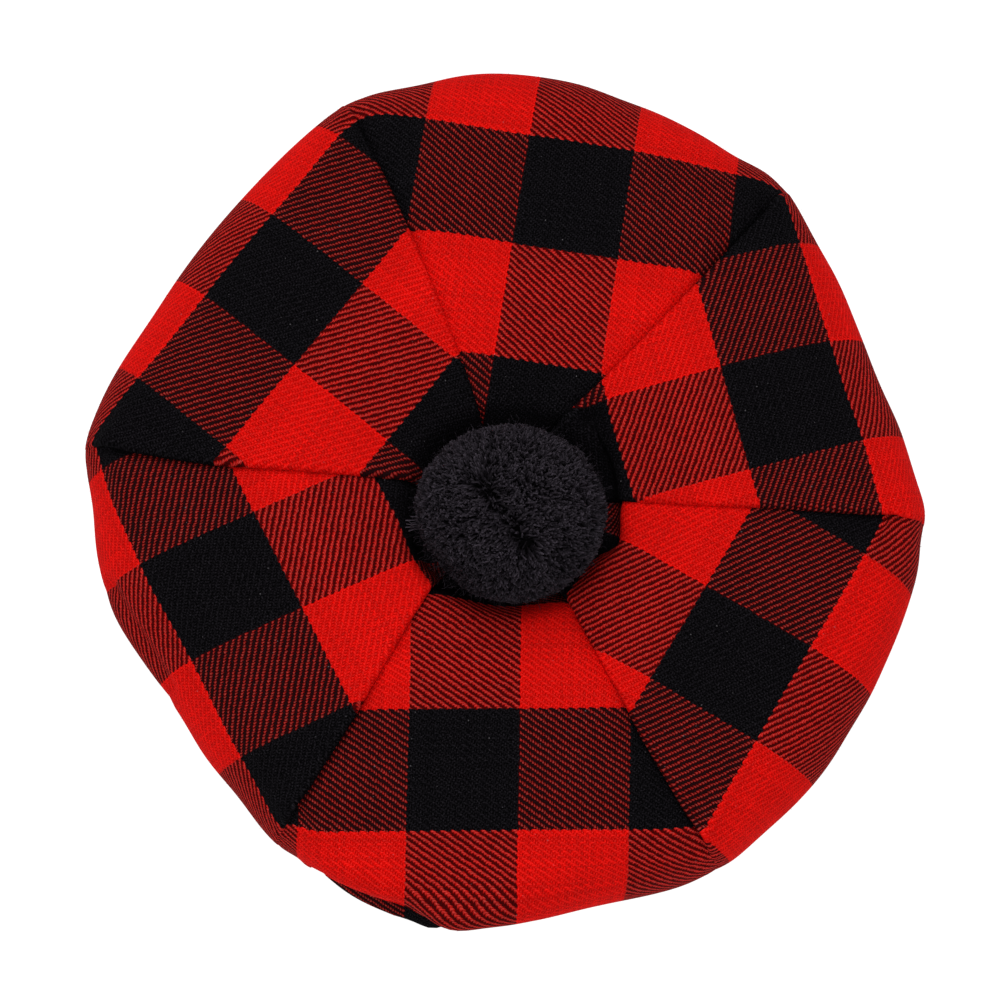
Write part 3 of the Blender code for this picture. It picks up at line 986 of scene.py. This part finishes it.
def yarn_ends(directions, random):
    """Centre lines, thickness and shade of one yarn end for each direction.

    An end starts inside the ball and runs out, then leans: away from the parting most of
    all beside it, and a little in a direction shared with its neighbours. Brushing leaves
    every tip bent its own way, least of all round the parting's near end, where the ends
    lie like the rays of a star. The yarn's crimp is a sine along it.
    """
    count = len(directions)
    away, far = away_from_parting(directions)
    lean = 0.0021 * np.exp(-(far / 0.20) ** 2) + 0.0010 * np.exp(-far / 0.8)
    clump, tuft = waves_on_ball(directions, 11.0), waves_on_ball(directions, 41.0)
    from_star = norm(directions - PARTING_END, axis=-1, keepdims=True)
    loose = 1.0 - 0.80 * np.exp(-(from_star / 0.38) ** 2)
    stray = random.normal(0.0, STRAY, (count, 3)) + CLUMP * clump + TUFT * tuft
    stray = stray * loose
    lumps = 1.0 + 0.012 * clump[:, 0] * clump[:, 1] + 0.009 * tuft[:, 0] * tuft[:, 1]
    lumps += random.normal(-0.008, 0.008, count)
    valley = 1.0 - 0.020 * np.exp(-(far / 0.08) ** 2)
    pressed = norm(directions - PRESSED_SIDE, axis=-1)
    length = POM_RADIUS * lumps * valley * (1.0 - 0.125 * np.exp(-(pressed / 0.46) ** 2))
    steps = np.linspace(0.0, 1.0, RINGS)[None, :, None]
    out = between(steps, POM_RADIUS * ROOT_SHARE, length[:, None, None])
    sag = (lean[:, None] * away + stray)[:, None, :]
    crimp = np.sin(CRIMP_TURNS * steps + random.uniform(0.0, 2 * pi, (count, 1, 1)))
    crimp = crimp * random.normal(0.0, CRIMP, (count, 1, 3))
    centres = directions[:, None, :] * out + sag * steps ** 2 + crimp
    reach = norm(centres, axis=-1, keepdims=True)
    centres *= np.minimum(1.0, length[:, None, None] / reach)
    thick = YARN_R * random.uniform(0.75, 1.25, (count, 1))
    radii = thick * np.array([[0.7, 0.9, 1.0, 1.1, 0.9]])
    shade = random.uniform(0.0, 1.0, count) + 0.25 * tuft[:, 0] * tuft[:, 1]
    # Painted shade in the parting: the ends beside it are darker.
    shade *= 1.0 - 0.3 * np.exp(-(far / 0.09) ** 2)
    return POM_CENTRE + centres * POM_SQUASH, radii, shade


def make_pompom():
    """The yarn ends in three bands of equal area, from the top of the ball down."""
    random = np.random.default_rng(RANDOM_SEED)
    directions = unit(even_directions(YARN_ENDS) + random.normal(0.0, 0.008, (YARN_ENDS, 3)))
    centres, radii, shade = yarn_ends(directions, random)
    height = directions[:, 2]
    bands = {"top": height > 1 / 3, "side": np.abs(height) <= 1 / 3, "foot": height < -1 / 3}
    for band_name, mine in bands.items():
        name = "pompom_" + band_name
        piece = add_yarn(name, tube_mesh(name, centres[mine], radii[mine], shade[mine]))
        print(piece.name, "has", int(mine.sum()), "yarn ends")


make_pompom()


# %% Haze and loose strands
HAIRS, STRANDS = 2800, 9
HAIR_R, STRAND_R = 0.00006, 0.00024
STRAND_TOWARDS = np.array([-0.980, -0.11, -0.05])


def make_haze():
    """Fine curly hairs that stand out of the ball, and a few strands that slipped out.

    A hair runs outwards from just under the surface and curls by a sine of its own.
    """
    random = np.random.default_rng(RANDOM_SEED + 1)
    directions = unit(random.normal(0.0, 1.0, (HAIRS, 3)))
    steps = np.linspace(0.0, 1.0, RINGS)[None, :, None]
    over = random.uniform(0.005, 0.024, (HAIRS, 1, 1))
    lean = random.normal(0.0, 0.0016, (HAIRS, 1, 3)) * steps
    curl = np.sin(CRIMP_TURNS * steps + random.uniform(0.0, 2 * pi, (HAIRS, 1, 1)))
    curl = curl * random.normal(0.0, 0.0004, (HAIRS, 1, 3))
    hairs = directions[:, None, :] * POM_RADIUS * (0.94 + (0.05 + over) * steps)
    hairs = (hairs + lean + curl) * POM_SQUASH
    towards = unit(STRAND_TOWARDS + random.normal(0.0, 0.035, (STRANDS, 3)))[:, None, :]
    slipped = random.uniform(0.15, 0.27, (STRANDS, 1, 1))
    strands = towards * POM_RADIUS * (CORE_SHARE + slipped * steps)
    strands = (strands + 0.7 * curl[:STRANDS]) * POM_SQUASH
    thick = np.full((HAIRS + STRANDS, RINGS), HAIR_R)
    thick[HAIRS:] = STRAND_R
    shade = random.uniform(0.2, 0.9, HAIRS + STRANDS)
    shade[HAIRS:] = 1.5
    lines = POM_CENTRE + np.concatenate([hairs, strands])
    return add_yarn("pompom_haze", tube_mesh("pompom_haze", lines, thick, shade))


haze = make_haze()
print(haze.name, "has", HAIRS, "hairs and", STRANDS, "strands")

# %% [markdown]
# ## Fuzz on the cloth
#
# Brushed wool sheds fine hairs. They hardly show on the flat crown, but along the rim they
# soften the outline, so a couple of thousand are set there, each the colour of the cloth
# under its root.

# %% Fuzz along the rim
FUZZ_PER_GORE = 420
FUZZ_R, FUZZ_RINGS = 0.00004, 3


def make_fuzz():
    """Short curved hairs on the rim rows of every gore, with their roots' cloth UV."""
    random = np.random.default_rng(RANDOM_SEED + 2)
    picked = []
    for points, cloth in gore_grids:
        row = random.integers(TOP_ROWS - 6, TOP_ROWS + RIM_ROWS, FUZZ_PER_GORE)
        margin = ALLOWANCE_COLUMNS + 2
        column = random.integers(margin, points.shape[1] - margin, FUZZ_PER_GORE)
        picked.append([grid[row, column] for grid in (points, grid_normals(points), cloth)])
    roots, outwards, uv = (np.concatenate(part) for part in zip(*picked))
    count = len(roots)
    steps = np.linspace(0.0, 1.0, FUZZ_RINGS)[None, :, None]
    reach = random.uniform(0.0004, 0.0013, (count, 1, 1))
    bend = random.normal(0.0, 0.0006, (count, 1, 3))
    centres = roots[:, None, :] + outwards[:, None, :] * reach * steps + bend * steps ** 1.5
    mesh = tube_mesh("fuzz", centres, np.full((count, FUZZ_RINGS), FUZZ_R), np.ones(count))
    on_walls, on_tips = (FUZZ_RINGS - 1) * TUBE_SIDES * 4, TUBE_SIDES * 3  # face corners
    corners = np.concatenate([np.repeat(uv, on_walls, axis=0), np.repeat(uv, on_tips, axis=0)])
    layer = mesh.uv_layers.new(name="cloth")
    layer.data.foreach_set("uv", corners.astype(np.float32).ravel())
    return add_piece("wool_fuzz", mesh, check_wool, "check_wool")


fuzz = make_fuzz()
print(fuzz.name, "has", len(GORES) * FUZZ_PER_GORE, "hairs along the rim")

# %% [markdown]
# ## The pompom's core and tie
#
# Behind the ends lies the imported yarn of the ball, which is what shows in the parting and
# between the ends. From it a tie goes down through the middle of the crown. Both are
# turned shapes with the yarn's own finish, dark with its painted root shade.

# %% Core and tie
TIE_R, TIE_BOTTOM_Z = 0.0045, 0.0245
TIE_ROWS, TIE_COLUMNS = 20, 24
TIE_SPREAD = 0.0026  # its foot fills the hole in the crown
SPREAD_FROM_Z, SPREAD_HEIGHT = 0.0300, 0.0040
# Painted shade: the core and the tie get a tone below the ends' average.
CORE_TONE = 0.4


def ball(centre, radii, rows=24, columns=48):
    """An ellipsoid on a grid of latitude and longitude, and its shallow dimples."""
    latitude = np.linspace(pi / 2 - 0.01, -pi / 2 + 0.01, rows)[:, None]
    longitude = np.linspace(0.0, 2 * pi, columns, endpoint=False)[None, :]
    x, y = np.cos(latitude) * np.cos(longitude), np.cos(latitude) * np.sin(longitude)
    unit_ball = np.stack([x, y, np.sin(latitude) + 0 * longitude], -1)
    rough = 1.0 + 0.012 * np.sin(9 * longitude) * np.sin(7 * latitude)
    return centre + unit_ball * radii * rough[..., None]


def yarn_shape(name, points, depth):
    """A closed grid in the yarn's finish, with one place along the yarn and one tone."""
    uv = np.zeros((points.shape[0], points.shape[1] + 1, 2))
    mesh = grid_mesh(name, points, uv, closed=True)
    for key, value in (("along", depth), ("tone", CORE_TONE)):
        mark(mesh, key, np.full(len(mesh.vertices), value))
    add_yarn(name, mesh)


def make_core():
    """The ball under the ends, and the tie as a short twisted stem."""
    # The core and the tie take painted shade: places close to the root make them nearly as dark
    # as the roots.
    yarn_shape("pompom_core", ball(POM_CENTRE, POM_RADIUS * CORE_SHARE * POM_SQUASH), 0.15)
    height = np.linspace(POM_CENTRE[2], TIE_BOTTOM_Z, TIE_ROWS)[:, None]
    angle = np.linspace(0.0, 2 * pi, TIE_COLUMNS, endpoint=False)[None, :]
    r = TIE_R * (1.0 + 0.10 * np.sin(6 * angle + height / 0.0012))
    r = r + TIE_SPREAD * smooth_step((SPREAD_FROM_Z - height) / SPREAD_HEIGHT)
    stem = np.stack([*round_middle(r, angle), height + 0 * angle], -1)
    yarn_shape("pompom_tie", stem, 0.3)


make_core()
print("core radius: %.1f mm" % (1000 * POM_RADIUS * CORE_SHARE))

# %% [markdown]
# ## The table
#
# A plain pale sheet that glows a little, because the cap lies on pure white. It reaches
# nine metres to each side, so its edge only shows from almost level with the cap.

# %% Table
TABLE_HALF = 9.0
TABLE_GREY, TABLE_GLOW = 0.30, 0.93

low, high = -TABLE_HALF, TABLE_HALF
corners = [(low, low, 0), (high, low, 0), (high, high, 0), (low, high, 0)]
sheet = bpy.data.meshes.new("table")
sheet.from_pydata(corners, [], [(0, 1, 2, 3)])
paper = Finish("white_paper", roughness=0.9, specular=0.0)
paper.feed("Base Color", (TABLE_GREY, TABLE_GREY, TABLE_GREY, 1.0))
paper.feed("Emission Color", (1.0, 1.0, 1.0, 1.0))
paper.feed("Emission Strength", TABLE_GLOW)
sheet.materials.append(paper.material)
show("table", sheet)
print("table:", 2 * TABLE_HALF, "metres wide")
